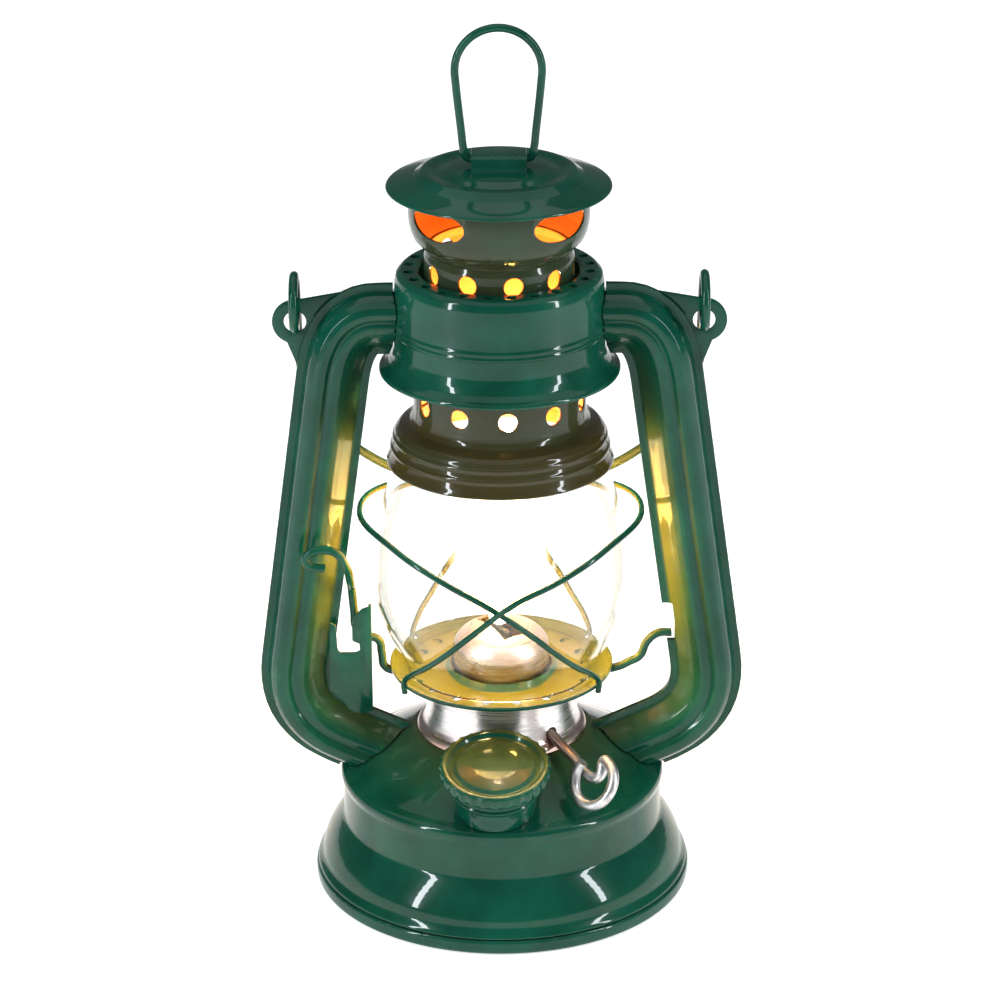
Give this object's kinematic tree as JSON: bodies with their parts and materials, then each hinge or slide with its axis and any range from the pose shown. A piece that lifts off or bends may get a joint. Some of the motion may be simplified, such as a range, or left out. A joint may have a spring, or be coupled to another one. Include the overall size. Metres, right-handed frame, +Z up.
{
  "type": "hurricane oil lamp",
  "caption": "Small kerosene lantern: flared tank, glass globe in crossed wire guards, side air tubes, vented chimney with a hood, hanging ring, wire bail and wick knob.",
  "frame": {"origin": "on the ground, under the lamp's axis", "axes": "+Z up along the lamp's axis, -Y to the lamp's front with the filler cap, +X to the air tube on the right as the front is faced"},
  "size_m": [0.146, 0.115, 0.2693],
  "materials": {
    "enamel": "glossy dark green enamel",
    "bare_tin": "drawn tinplate, warm grey, faintly speckled",
    "zinc": "matt zinc-plated wire",
    "brass": "dull brass",
    "glass": "clear blown glass",
    "cotton": "woven flat wick, charred at its top",
    "seal": "matt black sealing ring"
  },
  "bodies": {
    "root": {"tank_shell": "enamel", "tank_bottom": "enamel", "filler_neck": "enamel", "air_collar": "bare_tin", "throat_ring": "brass", "burner_base": "brass", "wick_tube": "brass", "air_gallery": "brass", "burner_dome": "bare_tin", "collar_drum": "enamel", "right_tube_front": "enamel", "right_tube_back": "enamel", "left_tube_front": "enamel", "left_tube_back": "enamel", "lift_bracket": "enamel"},
    "globe_carrier": {"globe_plate": "enamel", "globe": "glass", "guard_wire_a": "enamel", "guard_wire_b": "enamel", "lift_wire": "enamel"},
    "chimney": {"globe_cap": "enamel", "chimney_tube": "enamel", "chimney_bowl": "enamel", "hood": "enamel", "hood_bridge": "enamel"},
    "hanging_ring": {"hanging_ring": "enamel"},
    "bail": {"bail": "enamel"},
    "wick_knob": {"wick_shaft": "zinc", "wick_wheel_1": "brass", "wick_wheel_2": "brass", "wick_wheel_3": "brass"},
    "wick": {"wick": "cotton"},
    "cap_seal": {"cap_gasket": "seal"},
    "filler_cap": {"filler_cap": "enamel"}
  },
  "joints": [
    {"name": "globe_lift", "type": "slide", "parent": "root", "child": "globe_carrier", "axis": [0, 0, 1], "range_m": [0, 0.008]},
    {"name": "chimney_lift", "type": "slide", "parent": "globe_carrier", "child": "chimney", "axis": [0, 0, 1], "range_m": [0, 0.012]},
    {"name": "ring_swing", "type": "hinge", "parent": "chimney", "child": "hanging_ring", "pos_m": [0, 0, 0.2292], "axis": [1, 0, 0], "range_deg": [-80, 80]},
    {"name": "bail_swing", "type": "hinge", "parent": "root", "child": "bail", "pos_m": [0, 0, 0.18565], "axis": [1, 0, 0], "range_deg": [0, 250]},
    {"name": "knob_turn", "type": "hinge", "parent": "root", "child": "wick_knob", "pos_m": [0.00288, 0.0018, 0.0586], "axis": [0.517, -0.8273, -0.2198], "range_deg": [-120, 60]},
    {"name": "wick_travel", "type": "slide", "parent": "root", "child": "wick", "axis": [0, 0, 1], "range_m": [-0.0037, 0.0073]},
    {"name": "cap_lift", "type": "slide", "parent": "root", "child": "cap_seal", "axis": [0, -0.2419, 0.9703], "range_m": [0, 0.0086]},
    {"name": "cap_turn", "type": "hinge", "parent": "cap_seal", "child": "filler_cap", "pos_m": [-0.002, -0.041, 0.055], "axis": [0, -0.2419, 0.9703], "range_deg": [0, 540]}
  ],
  "couplings": [
    {"joint": "wick_travel", "follows": "knob_turn", "m_per_rad": -0.0034},
    {"joint": "cap_lift", "follows": "cap_turn", "m_per_rad": 0.0009}
  ]
}
